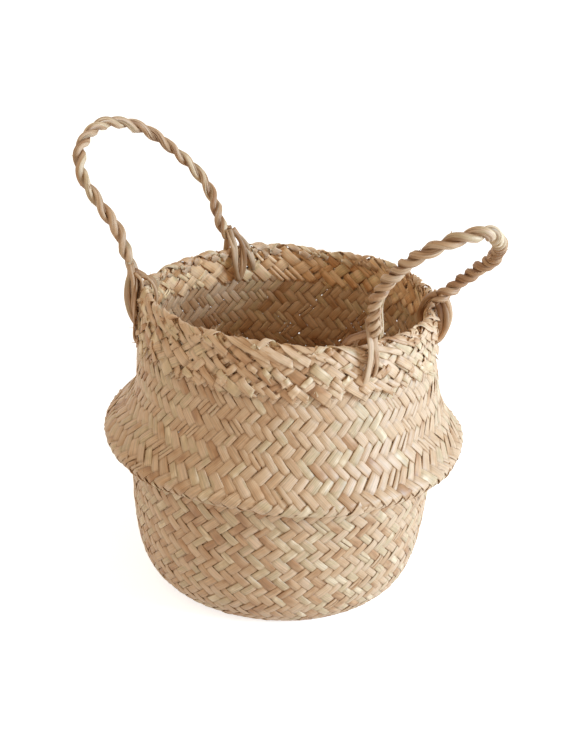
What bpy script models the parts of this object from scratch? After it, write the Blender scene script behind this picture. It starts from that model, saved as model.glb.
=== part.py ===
"""A belly basket of plaited seagrass with two twisted rope handles, in metres, +Z up.

The basket stands on its base mat, centred on the Z axis. -Y is its front. The footing and wall of the bowl, the
web of the fold, the belly and its lip, the neck, the folded collar, its strips and the ropes are separate pieces.
The belly rides up and down on the fold, and each handle tips on the line through its two feet.
"""

import math

import bmesh
import bpy
from mathutils import Matrix, Vector

# Walls of plaited cloth
WALL = 0.003
GAP = 0.0003

# Bowl below the fold
WAIST_RADIUS = 0.111
WAIST_HEIGHT = 0.107
BOWL_SHARES = ((0.72, 0.0), (0.815, 0.045), (0.893, 0.17), (0.941, 0.39), (0.968, 0.7), (1.0, 1.0))
FOOTING_SHARE = 0.22

# Belly and neck above the fold
BELLY_OVERHANG = 0.016
LIP_DROP = 0.003
LIP_ROLL = 0.0055
LIP_FLAT = 0.0015
LIP_SHARE = 0.14
SHOULDER_RISE = 0.0385
SHOULDER_SHARES = ((0.09, 0.98), (0.3, 0.63), (0.5, 0.37), (0.76, 0.12), (1.0, 0.0))
NECK_RADIUS = 0.1078
NECK_RISE = 0.0645
NECK_SHARES = ((0.12, 0.86), (0.43, 0.54), (1.0, 0.0))
RIM_RADIUS = 0.0985
WEB_THICKNESS = 0.0024

# Collar folded down outside the neck
COLLAR_THICKNESS = 0.0022
COLLAR_DEPTH = 0.036
EDGE_HEIGHT = 0.0045
STRIP_WIDTH = 0.0062
STRIP_THICKNESS = 0.0009
STRIP_TAIL = 0.005
STRIP_LEAN_DEGREES = 37.4
STRIP_COUNT = 24
STRIP_SEGMENTS = 9

# Ropes
PLY_RADIUS = 0.00235
PLY_GAP = 0.001
ROPE_LAY = 0.026
PLY_POINT_SPACING = 0.0045
FOOT_STRAND_RADIUS = 0.0022
FOOT_LOOP_DEPTH = 0.028
SLOT_CLEARANCE = 0.0006
LEFT_LOOP_HEIGHT = 0.105
RIGHT_LOOP_HEIGHT = 0.093

# Where each handle's feet stand, in degrees anticlockwise from +X, and how it leans out from upright.
# The lean grows by the bow from the feet to the top, and by the skew from the middle to the back.
# The outline gives shares of half the distance between the feet, and of the loop's height.
HANDLES = {
    "left": {
        "feet_degrees": {"front": 183.0, "back": 119.0},
        "lean_degrees": 38.5,
        "bow_degrees": 1.5,
        "skew_degrees": 0.0,
        "height": LEFT_LOOP_HEIGHT,
        "outline_shares": (
            (-1.0, 0.0), (-1.09, 0.16), (-1.1, 0.33), (-1.17, 0.52), (-1.16, 0.74), (-0.84, 0.93),
            (-0.17, 1.02), (0.5, 0.9), (0.97, 0.6), (1.11, 0.38), (1.03, 0.16), (1.0, 0.0),
        ),
    },
    "right": {
        "feet_degrees": {"front": -61.0, "back": -13.0},
        "lean_degrees": 34.6,
        "bow_degrees": 18.0,
        "skew_degrees": 6.1,
        "height": RIGHT_LOOP_HEIGHT,
        "outline_shares": (
            (-1.0, 0.0), (-1.19, 0.25), (-1.15, 0.53), (-1.09, 0.87), (-0.61, 1.06), (0.02, 0.92),
            (0.6, 0.75), (0.95, 0.6), (1.18, 0.5), (1.22, 0.24), (1.0, 0.0),
        ),
    },
}

# Fineness of the faceted solids
TURN_STEPS = 44
MERGE = 0.00005
CURVE_STEPS = 2
OUTLINE_STEPS = 16
LIP_STEPS = 4
EDGE_STEPS = 8
BALL_SEGMENTS = 14
BALL_RINGS = 8

# Sizes that follow from the ones above
BELLY_RADIUS = WAIST_RADIUS + BELLY_OVERHANG
LIP_HEIGHT = WAIST_HEIGHT - LIP_DROP + LIP_ROLL
FOOTING_TOP = FOOTING_SHARE * WAIST_HEIGHT
LIP_TOP = LIP_HEIGHT + LIP_SHARE * SHOULDER_RISE
SHOULDER_HEIGHT = LIP_HEIGHT + SHOULDER_RISE
RIM_HEIGHT = SHOULDER_HEIGHT + NECK_RISE
WALL_TOP = RIM_HEIGHT - EDGE_HEIGHT - GAP
COLLAR_OFFSET = GAP + COLLAR_THICKNESS
PLY_OFFSET = PLY_RADIUS + PLY_GAP / 2
ROPE_RADIUS = PLY_OFFSET + PLY_RADIUS
FOOT_RADIUS = RIM_RADIUS + (COLLAR_OFFSET - WALL) / 2
AXIS_HEIGHT = RIM_HEIGHT + GAP + 2 * FOOT_STRAND_RADIUS + GAP + ROPE_RADIUS


def clear_scene():
    for item in list(bpy.data.objects):
        bpy.data.objects.remove(item, do_unlink=True)


def new_collection(name):
    collection = bpy.data.collections.new(name)
    bpy.context.scene.collection.children.link(collection)
    return collection


def new_material(name, colour, roughness):
    material = bpy.data.materials.new(name)
    material.use_nodes = True
    shader = material.node_tree.nodes["Principled BSDF"]
    shader.inputs["Base Color"].default_value = (*colour, 1.0)
    shader.inputs["Roughness"].default_value = roughness
    shader.inputs["Metallic"].default_value = 0.0
    return material


def add_object(name, data, collection, colour, roughness=0.75):
    item = bpy.data.objects.new(name, data)
    data.materials.append(new_material(name, colour, roughness))
    collection.objects.link(item)
    return item


def smooth_line(points, steps):
    """The points of a smooth curve through the given ones, steps to each stretch."""
    vectors = [Vector(point) for point in points]
    ends = [2 * vectors[0] - vectors[1], *vectors, 2 * vectors[-1] - vectors[-2]]
    line = []
    for before, start, stop, after in zip(ends, ends[1:], ends[2:], ends[3:]):
        for step in range(steps):
            t = step / steps
            line.append(0.5 * (
                2 * start + (stop - before) * t + (2 * before - 5 * start + 4 * stop - after) * t**2
                + (3 * start - before - 3 * stop + after) * t**3
            ))
    return [*line, vectors[-1]]


def bowl_profile():
    """Outer side of the bowl as (radius, height), from the mat's edge up to the waist."""
    points = [(radius * WAIST_RADIUS, height * WAIST_HEIGHT) for radius, height in BOWL_SHARES]
    return smooth_line(points, CURVE_STEPS)


def upper_profile():
    """Outer side of the belly and neck as (radius, height), from the equator up to the rim."""
    points = [(BELLY_RADIUS, LIP_HEIGHT)]
    for rise, share in SHOULDER_SHARES:
        points.append((NECK_RADIUS + share * (BELLY_RADIUS - NECK_RADIUS), LIP_HEIGHT + rise * SHOULDER_RISE))
    for rise, share in NECK_SHARES:
        points.append((RIM_RADIUS + share * (NECK_RADIUS - RIM_RADIUS), SHOULDER_HEIGHT + rise * NECK_RISE))
    return smooth_line(points, CURVE_STEPS)


def radius_at(profile, height):
    """Radius of a rising profile at a height, held at its ends."""
    for low, high in zip(profile, profile[1:]):
        if low.y <= height <= high.y:
            return low.x + (high.x - low.x) * (height - low.y) / (high.y - low.y)
    return profile[0].x if height < profile[0].y else profile[-1].x


def between(profile, low, high):
    """The stretch of a rising profile between two heights."""
    inner = [point for point in profile if low + GAP < point.y < high - GAP]
    ends = (Vector((radius_at(profile, low), low)), Vector((radius_at(profile, high), high)))
    return [ends[0], *inner, ends[1]]


def turned(name, profile, collection, colour, closed=False):
    """A profile that runs down its outer side, turned about Z."""
    mesh = bpy.data.meshes.new(name)
    points = [(radius, 0.0, height) for radius, height in profile]
    edges = [(index, index + 1) for index in range(len(points) - 1)]
    if closed:
        edges.append((len(points) - 1, 0))
    mesh.from_pydata(points, edges, [])
    item = add_object(name, mesh, collection, colour)
    screw = item.modifiers.new("Turn", "SCREW")
    screw.steps = TURN_STEPS
    screw.render_steps = TURN_STEPS
    screw.use_merge_vertices = True
    screw.merge_threshold = MERGE
    screw.use_smooth_shade = True
    return item


def thicken(item, thickness):
    """Gives an open sheet its thickness on the inner side."""
    shell = item.modifiers.new("Thickness", "SOLIDIFY")
    shell.thickness = thickness
    shell.offset = -1.0
    shell.use_even_offset = True
    return item


def on_foot(degrees):
    """Frame of a foot: X points out of the basket and Z up, from the middle of the wall at the rim."""
    turn = Matrix.Rotation(math.radians(degrees), 4, "Z")
    return turn @ Matrix.Translation((FOOT_RADIUS, 0.0, 0.0))


def all_feet():
    for side, handle in HANDLES.items():
        for end, degrees in handle["feet_degrees"].items():
            yield f"{side}_{end}", degrees


def slot_height():
    """Height of the middle of the slots that the foot loops pass through."""
    return RIM_HEIGHT + GAP + FOOT_STRAND_RADIUS - FOOT_LOOP_DEPTH


def leg_offsets():
    """How far from the foot's middle the outer and the inner leg of a loop stand."""
    outside = (WALL + COLLAR_OFFSET) / 2 + GAP + STRIP_THICKNESS + GAP + FOOT_STRAND_RADIUS
    flare = radius_at(upper_profile(), slot_height()) - RIM_RADIUS
    inside = (WALL + COLLAR_OFFSET) / 2 + GAP + FOOT_STRAND_RADIUS
    return outside + flare, inside + max(0.0, -flare)


def add_slot_cutters(collection):
    """One bar through the neck and collar at each foot."""
    outside, inside = leg_offsets()
    cutters = []
    for name, degrees in all_feet():
        mesh = bpy.data.meshes.new(f"{name}_slot")
        shape = bmesh.new()
        bmesh.ops.create_cone(
            shape, cap_ends=True, segments=BALL_SEGMENTS, radius1=FOOT_STRAND_RADIUS + SLOT_CLEARANCE,
            radius2=FOOT_STRAND_RADIUS + SLOT_CLEARANCE, depth=2 * (outside + inside),
        )
        shape.to_mesh(mesh)
        shape.free()
        cutter = add_object(f"{name}_slot", mesh, collection, (0.5, 0.5, 0.5))
        place = on_foot(degrees) @ Matrix.Translation((0.0, 0.0, slot_height()))
        cutter.matrix_world = place @ Matrix.Rotation(math.pi / 2, 4, "Y")
        cutter.hide_render = True
        cutter.display_type = "WIRE"
        cutters.append(cutter)
    return cutters


def cut(item, cutters):
    for cutter in cutters:
        boolean = item.modifiers.new(cutter.name, "BOOLEAN")
        boolean.operation = "DIFFERENCE"
        boolean.solver = "EXACT"
        boolean.object = cutter


def add_base_mat(collection):
    """Flat disc that ends short of the bowl's inner edge, which leans in over it."""
    start, after = bowl_profile()[:2]
    radius = start.x - WALL * (after.y - start.y) / (after - start).length - GAP
    outline = ((0.0, WALL), (radius, WALL), (radius, 0.0), (0.0, 0.0))
    turned("base_mat", outline, collection, (0.62, 0.46, 0.29))


def add_bowl(collection):
    """The footing, where the mat's strips turn up, and the wall above it up to the waist."""
    footing = between(bowl_profile(), 0.0, FOOTING_TOP)
    thicken(turned("footing", reversed(footing), collection, (0.6, 0.45, 0.29)), WALL)
    wall = between(bowl_profile(), FOOTING_TOP + GAP, WAIST_HEIGHT)
    thicken(turned("lower_wall", reversed(wall), collection, (0.64, 0.48, 0.31)), WALL)


def add_fold_web(collection):
    """Ring of cloth from the waist out to the underside of the lip."""
    inner = WAIST_RADIUS + GAP
    outer = BELLY_RADIUS - LIP_ROLL - LIP_FLAT - GAP
    bottom = WAIST_HEIGHT - LIP_DROP
    outline = (
        (outer, bottom + WEB_THICKNESS), (outer, bottom), (inner, bottom + LIP_DROP / 2),
        (inner, bottom + LIP_DROP / 2 + WEB_THICKNESS),
    )
    turned("fold_web", outline, collection, (0.5, 0.37, 0.23), closed=True)


def add_belly(collection):
    """The lip, a quarter of a roll that ends in a flat stretch underneath, and the shoulder above it."""
    lip = [*reversed(between(upper_profile(), LIP_HEIGHT, LIP_TOP))]
    for step in range(1, LIP_STEPS + 1):
        angle = math.radians(90.0) * step / LIP_STEPS
        radius = BELLY_RADIUS - LIP_ROLL + LIP_ROLL * math.cos(angle)
        lip.append(Vector((radius, LIP_HEIGHT - LIP_ROLL * math.sin(angle))))
    lip.append(lip[-1] - Vector((LIP_FLAT, 0.0)))
    thicken(turned("belly_lip", lip, collection, (0.72, 0.56, 0.38)), WALL)
    wall = between(upper_profile(), LIP_TOP + GAP, SHOULDER_HEIGHT - GAP)
    thicken(turned("belly_wall", reversed(wall), collection, (0.68, 0.52, 0.34)), WALL)


def add_neck_wall(collection, cutters):
    line = between(upper_profile(), SHOULDER_HEIGHT, WALL_TOP)
    wall = turned("neck_wall", reversed(line), collection, (0.6, 0.45, 0.28))
    thicken(wall, WALL)
    cut(wall, cutters)


def add_collar_band(collection, cutters):
    line = between(upper_profile(), RIM_HEIGHT - COLLAR_DEPTH, WALL_TOP)
    outside = [(point.x + COLLAR_OFFSET, point.y) for point in reversed(line)]
    band = turned("collar_band", outside, collection, (0.7, 0.54, 0.37))
    thicken(band, COLLAR_THICKNESS)
    cut(band, cutters)


def add_rim_edge(collection):
    """Half-round ridge along the fold at the top, over the wall and the collar."""
    half = (WALL + COLLAR_OFFSET) / 2
    bottom = RIM_HEIGHT - EDGE_HEIGHT
    outline = []
    for step in range(EDGE_STEPS + 1):
        angle = math.pi * (1 - step / EDGE_STEPS)
        outline.append((FOOT_RADIUS + half * math.cos(angle), bottom + EDGE_HEIGHT * math.sin(angle)))
    turned("rim_edge", outline, collection, (0.66, 0.5, 0.32), closed=True)


def add_collar_strips(collection):
    """Broad strips that lie on the collar on the bias and end in a tail below it."""
    profile = upper_profile()
    top = WALL_TOP - GAP
    bottom = RIM_HEIGHT - COLLAR_DEPTH - STRIP_TAIL
    lean = math.radians(STRIP_LEAN_DEGREES)
    middle = radius_at(profile, RIM_HEIGHT - COLLAR_DEPTH / 2)
    sweep = (top - bottom) * math.tan(lean) / middle
    spread = STRIP_WIDTH / math.cos(lean) / middle
    for number in range(STRIP_COUNT):
        name = f"collar_strip_{number + 1:02d}"
        mesh = bpy.data.meshes.new(name)
        shape = bmesh.new()
        bmesh.ops.create_grid(shape, x_segments=1, y_segments=STRIP_SEGMENTS, size=0.5)
        for vertex in shape.verts:
            along = vertex.co.y + 0.5
            height = bottom + (top - bottom) * along
            turn = math.tau * number / STRIP_COUNT + sweep * along + spread * vertex.co.x
            radius = radius_at(profile, height) + COLLAR_OFFSET + GAP + STRIP_THICKNESS
            vertex.co = (radius * math.cos(turn), radius * math.sin(turn), height)
        bmesh.ops.recalc_face_normals(shape, faces=shape.faces)
        shape.faces.ensure_lookup_table()
        if shape.faces[0].normal.dot(shape.faces[0].calc_center_median()) < 0:
            bmesh.ops.reverse_faces(shape, faces=shape.faces)
        shape.to_mesh(mesh)
        shape.free()
        thicken(add_object(name, mesh, collection, (0.74, 0.58, 0.41)), STRIP_THICKNESS)


def add_tube(name, points, radius, collection, colour, cyclic=False):
    curve = bpy.data.curves.new(name, "CURVE")
    curve.dimensions = "3D"
    curve.bevel_depth = radius
    curve.bevel_resolution = 2
    curve.use_fill_caps = True
    spline = curve.splines.new("POLY")
    spline.points.add(len(points) - 1)
    for place, point in zip(spline.points, points):
        place.co = (*point, 1.0)
    spline.use_cyclic_u = cyclic
    return add_object(name, curve, collection, colour, 0.7)


def add_foot_loops(collection):
    """A strand at each foot that straddles the rim and passes through the collar's slot."""
    outside, inside = leg_offsets()
    top = RIM_HEIGHT + GAP + FOOT_STRAND_RADIUS
    bottom = slot_height()
    rise = FOOT_STRAND_RADIUS
    flare = radius_at(upper_profile(), bottom) - RIM_RADIUS
    for name, degrees in all_feet():
        frame = on_foot(degrees)
        corners = (
            (outside - flare - rise, top), (outside - flare, top - rise), (outside, bottom + 2 * rise),
            (outside - rise / 2, bottom + rise / 2), (outside - 1.5 * rise, bottom),
            (rise - inside, bottom), (-inside, bottom + rise), (-inside, top - rise), (rise - inside, top),
        )
        points = [frame @ Vector((out, 0.0, height)) for out, height in corners]
        add_tube(f"{name}_foot_loop", points, FOOT_STRAND_RADIUS, collection, (0.6, 0.45, 0.29), cyclic=True)


def hinge_of(handle):
    """Middle of the line through the feet, the line's direction and the direction out of the basket."""
    feet = handle["feet_degrees"]
    ends = []
    for degrees in (feet["front"], feet["back"]):
        turn = math.radians(degrees)
        ends.append(Vector((FOOT_RADIUS * math.cos(turn), FOOT_RADIUS * math.sin(turn), AXIS_HEIGHT)))
    middle = (ends[0] + ends[1]) / 2
    out = Vector((middle.x, middle.y, 0.0)).normalized()
    return middle, (ends[1] - ends[0]) / 2, out


def rope_line(handle):
    """Centre line of a handle, from its front foot to its back foot, at even spacing."""
    middle, half, out = hinge_of(handle)
    outline = [Vector((side, rise * handle["height"])) for side, rise in handle["outline_shares"]]
    line = []
    for point in smooth_line(outline, OUTLINE_STEPS):
        bow = handle["bow_degrees"] * (point.y / handle["height"] - 0.5)
        lean = math.radians(handle["lean_degrees"] + bow + handle["skew_degrees"] * point.x)
        up = Vector((0.0, 0.0, math.cos(lean))) + out * math.sin(lean)
        line.append(middle + half * point.x + up * point.y)
    return line


def even_points(line, start, spacing):
    """Points along a line, leaving out a stretch at either end, and the distance of each."""
    lengths = [0.0]
    for before, after in zip(line, line[1:]):
        lengths.append(lengths[-1] + (after - before).length)
    count = max(2, round((lengths[-1] - 2 * start) / spacing))
    points = []
    stretch = 0
    for step in range(count + 1):
        distance = start + (lengths[-1] - 2 * start) * step / count
        while lengths[stretch + 1] < distance:
            stretch += 1
        share = (distance - lengths[stretch]) / (lengths[stretch + 1] - lengths[stretch])
        points.append((line[stretch].lerp(line[stretch + 1], share), distance))
    return points


def add_plies(side, handle, collection, empty):
    """Two strands that wind round the rope's centre line, half a turn apart."""
    slant = math.atan(math.tau * PLY_OFFSET / ROPE_LAY)
    start = ROPE_RADIUS + GAP + PLY_RADIUS * math.sin(slant)
    centre = even_points(rope_line(handle), start, PLY_POINT_SPACING)
    out = hinge_of(handle)[2]
    frames = []
    for index, (point, distance) in enumerate(centre):
        before = centre[max(index - 1, 0)][0]
        after = centre[min(index + 1, len(centre) - 1)][0]
        along = (after - before).normalized()
        across = (out - along * along.dot(out)).normalized()
        frames.append((point, distance, across, along.cross(across)))
    for letter, phase in (("a", 0.0), ("b", math.pi)):
        points = []
        for point, distance, across, third in frames:
            turn = math.tau * distance / ROPE_LAY + phase
            points.append(point + PLY_OFFSET * (across * math.cos(turn) + third * math.sin(turn)))
        place = empty.location
        ply = add_tube(
            f"{side}_handle_ply_{letter}", [point - place for point in points], PLY_RADIUS, collection,
            (0.58, 0.44, 0.28),
        )
        ply.parent = empty


def add_crossings(side, handle, collection, empty):
    """The ball of strands at each foot, on the handle's axis, where the plies part over the rim."""
    middle, half, _ = hinge_of(handle)
    for end, place in (("front", -half), ("back", half)):
        name = f"{side}_{end}_crossing"
        mesh = bpy.data.meshes.new(name)
        shape = bmesh.new()
        bmesh.ops.create_uvsphere(shape, u_segments=BALL_SEGMENTS, v_segments=BALL_RINGS, radius=ROPE_RADIUS)
        shape.to_mesh(mesh)
        shape.free()
        mesh.shade_smooth()
        ball = add_object(name, mesh, collection, (0.56, 0.42, 0.27))
        ball.location = place
        ball.parent = empty


def add_handles(collection):
    for side, handle in HANDLES.items():
        empty = bpy.data.objects.new(f"{side}_handle_axis", None)
        empty.location = hinge_of(handle)[0]
        collection.objects.link(empty)
        add_plies(side, handle, collection, empty)
        add_crossings(side, handle, collection, empty)


def main():
    clear_scene()
    parts = new_collection("belly_basket")
    cutters = add_slot_cutters(new_collection("cutters"))
    add_base_mat(parts)
    add_bowl(parts)
    add_fold_web(parts)
    add_belly(parts)
    add_neck_wall(parts, cutters)
    add_collar_band(parts, cutters)
    add_rim_edge(parts)
    add_collar_strips(parts)
    add_foot_loops(parts)
    add_handles(parts)


main()
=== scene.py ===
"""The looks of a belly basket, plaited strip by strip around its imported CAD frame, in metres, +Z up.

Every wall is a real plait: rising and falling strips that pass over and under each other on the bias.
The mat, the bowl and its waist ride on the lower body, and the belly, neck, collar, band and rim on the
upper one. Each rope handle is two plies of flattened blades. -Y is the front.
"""

import math

import bpy
import numpy as np
from mathutils import Matrix, Vector


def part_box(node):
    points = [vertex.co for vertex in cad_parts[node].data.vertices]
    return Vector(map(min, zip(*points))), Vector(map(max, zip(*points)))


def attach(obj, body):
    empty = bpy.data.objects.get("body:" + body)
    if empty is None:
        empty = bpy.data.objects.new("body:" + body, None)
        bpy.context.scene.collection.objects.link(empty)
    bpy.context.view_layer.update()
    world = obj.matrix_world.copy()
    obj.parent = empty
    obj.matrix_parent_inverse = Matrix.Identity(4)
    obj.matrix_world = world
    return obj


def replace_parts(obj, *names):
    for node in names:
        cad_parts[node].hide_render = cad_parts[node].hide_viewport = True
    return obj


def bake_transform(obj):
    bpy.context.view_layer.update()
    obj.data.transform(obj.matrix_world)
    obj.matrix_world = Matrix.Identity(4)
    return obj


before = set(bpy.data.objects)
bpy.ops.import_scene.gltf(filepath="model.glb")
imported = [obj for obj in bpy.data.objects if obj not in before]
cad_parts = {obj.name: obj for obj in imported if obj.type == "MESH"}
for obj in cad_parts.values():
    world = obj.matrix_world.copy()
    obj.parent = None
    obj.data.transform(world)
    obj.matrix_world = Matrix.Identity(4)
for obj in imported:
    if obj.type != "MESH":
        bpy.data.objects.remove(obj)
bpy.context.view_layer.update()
rng = np.random.default_rng(20)

# Sizes that the frame gives
BELLY_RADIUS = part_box("belly_lip")[1][0]
LIP_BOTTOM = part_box("belly_lip")[0][2]
WAIST_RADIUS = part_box("lower_wall")[1][0]
WAIST_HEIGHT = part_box("lower_wall")[1][2]
NECK_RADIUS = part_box("neck_wall")[1][0]
SHOULDER_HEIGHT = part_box("neck_wall")[0][2]
RIM_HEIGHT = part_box("rim_edge")[1][2]

# Outline of the walls, as shares of the sizes above
BOWL_SHARES = ((0.72, 0.0), (0.815, 0.045), (0.893, 0.17), (0.941, 0.39), (0.968, 0.7), (1.0, 1.0))
SHOULDER_SHARES = ((0.0, 1.0), (0.09, 0.98), (0.3, 0.63), (0.5, 0.37), (0.76, 0.12), (1.0, 0.0))
NECK_SHARES = ((0.12, 0.86), (0.43, 0.54), (1.0, 0.0))
RIM_RADIUS = 0.0985
LIP_ROLL = 0.0055

# Where the hand-made walls stray from a true turned shape. Bumps: (degrees round, height), the spread of
# each, and how far (out, up). Waves: size, how many go round, their start, and their turn per metre of height
BUMPS = (
    ((187.0, 0.141), (36.0, 0.016), (-0.0036, 0.0)),
    ((-8.0, 0.184), (26.0, 0.015), (-0.0032, 0.0)),
    ((-116.0, 0.104), (26.0, 0.02), (0.0, 0.0018)),
    ((150.0, 0.213), (22.0, 0.02), (0.0, -0.0042)),
    ((-61.0, 0.213), (7.0, 0.014), (-0.001, -0.003)),
)
WAVES_OUT = ((0.0005, 2, 0.7, 11), (0.0005, 3, 2.1, -17), (0.0004, 5, 4.0, 30))
WAVES_UP = ((0.0005, 3, 0.4, 0), (0.0005, 7, 1.9, 0), (0.0003, 17, 0.0, 0))

# Plaits: their strips each way, the angle that these climb at, and how many they go over and then under
BELLY_STRIPS = 88
BOWL_STRIPS = 76
COLLAR_STRIPS = 60
BAND_STRIPS = 50
BELLY_DEGREES = 50.5
BOWL_DEGREES = 41.5
COLLAR_DEGREES = 36.0
BAND_DEGREES = 41.0
TWILL = (2, 2)
COARSE = (1, 2)

# Strips: the share of their room that they fill, by way, and how they wave and wander
STRIP_THICKNESS = 0.001
FILL = {1: (0.9, 1.06), -1: (1.0, 1.12)}
COLLAR_FILL = {1: (0.6, 0.92), -1: (0.78, 1.06)}
BAND_FILL = (0.74, 1.0)
FOLD_FILL = 0.98
WIDTH_LIMITS = (0.6, 1.5)
WAVE = 0.0006
COLLAR_WAVE = 0.00065
BAND_WAVE = 0.0007
FOLD_WAVE = 0.0004
WAVE_SHARPNESS = 4.0
WANDER_SPACING = 0.02
HEIGHT_WANDER = 0.00012
WIDTH_WANDER = 0.03
ROLL_WANDER = 0.07
STEPS_PER_ROW = 4

# Layers: how far they stand off the wall's outer side at their low and high end, and their depth
CLOTH_LIFT = (-0.0013, -0.0013)
COLLAR_LIFT = (0.0022, 0.001)
COLLAR_DEPTH = 0.0345
BAND_LIFT = (-0.0024, -0.0014)
BAND_DEPTH = 0.027
BAND_LAP = 0.004
RIM_MARGIN = 0.003

# Short strips that lie on the collar, and blades folded over the rim
TAILS = 17
FLAKES = 80
TAIL_THICKNESS = 0.0009
RIM_BLADES = 70
RIM_BLADE_HALF_WIDTH = 0.0022
RIM_BLADE_THICKNESS = 0.001
RIM_BLADE_SLANT = 1 / math.tan(math.radians(27.0))
FOLD_RADIUS = 0.0021

# The fold inside the belly, and the heights above the waist and the lip between which it bends
FOLD_RISE = 0.006
FOLD_LEAN = 0.003
FOLD_BULGE = 0.0025

# The mat
MAT_STRIP = 0.0056
MAT_THICKNESS = 0.0008
MAT_HEIGHT = 0.0015

# Ropes
BLADES = 6
BLADE_OFFSET = 0.0016
BLADE_HALF_WIDTH = 0.0017
BLADE_THICKNESS = 0.0015
BLADE_LAY = 0.05
STRAIGHT_OFFSET = 0.0042
END_FADE = 0.02
ROPE_STEP = 0.0012
ROOT_LENGTH = 0.002
ROOT_TRIM = 0.0035
ROOT_TAPER = 0.007
ROOT_SHARE = 0.5
FOOT_RADIUS = 0.09825
AXIS_HEIGHT = 0.2227
TONE_SHARES = (0.0, 0.3, 0.52, 0.66, 1.0)

# Each rope runs from its front foot to its back one. Tip is how far it leans out, how much more higher up,
# and how much more towards the back. Drops let points of the outline hang lower. Lays are (share of the
# length, length of a turn), and tones make its blades paler. End shifts move its ends (out, up). Straight is
# how far two strands run beside it, and a loose end stands off at a share of its length.
HANDLES = {
    "left": {
        "feet_degrees": {"front": 183.0, "back": 119.0},
        "tip_degrees": (38.5, 1.5, 0.0),
        "height": 0.105,
        "ply_offset": 0.0018,
        "lays": ((0.0, 0.029), (0.5, 0.03), (1.0, 0.028)),
        "tints": (0.0, 1.0),
        "tones": (0.0, 0.05, 0.0, -0.05, 0.0),
        "end_shifts": ((0.009, -0.004), (0.0035, -0.0015)),
        "outline_shares": (
            (-1.0, 0.0), (-1.09, 0.16), (-1.1, 0.33), (-1.17, 0.52), (-1.16, 0.74), (-0.84, 0.93),
            (-0.17, 1.02), (0.5, 0.9), (0.97, 0.6), (1.11, 0.38), (1.03, 0.16), (1.0, 0.0),
        ),
        "drops": (0.0,) * 12,
    },
    "right": {
        "feet_degrees": {"front": -61.0, "back": -13.0},
        "tip_degrees": (34.6, 18.0, 6.1),
        "height": 0.093,
        "ply_offset": 0.0023,
        "lays": ((0.0, 0.015), (0.2, 0.016), (0.32, 0.024), (0.55, 0.023), (0.62, 0.0175), (1.0, 0.0165)),
        "straight": 0.058,
        "tints": (0.15, 0.65),
        "tones": (0.0, -0.1, 0.65, -0.3, -0.3),
        "end_shifts": ((0.0075, -0.005), (0.002, -0.001)),
        "outline_shares": (
            (-1.0, 0.0), (-1.19, 0.25), (-1.15, 0.53), (-1.09, 0.87), (-0.61, 1.09), (0.02, 0.98),
            (0.6, 0.82), (0.95, 0.67), (1.2, 0.54), (1.24, 0.25), (1.0, 0.0),
        ),
        "drops": (0.0, 0.0, 0.0, 0.003, 0.002, 0.003, 0.004, 0.005, 0.006, 0.0055, 0.0015),
        "loose_end": 0.73,
    },
}

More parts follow.
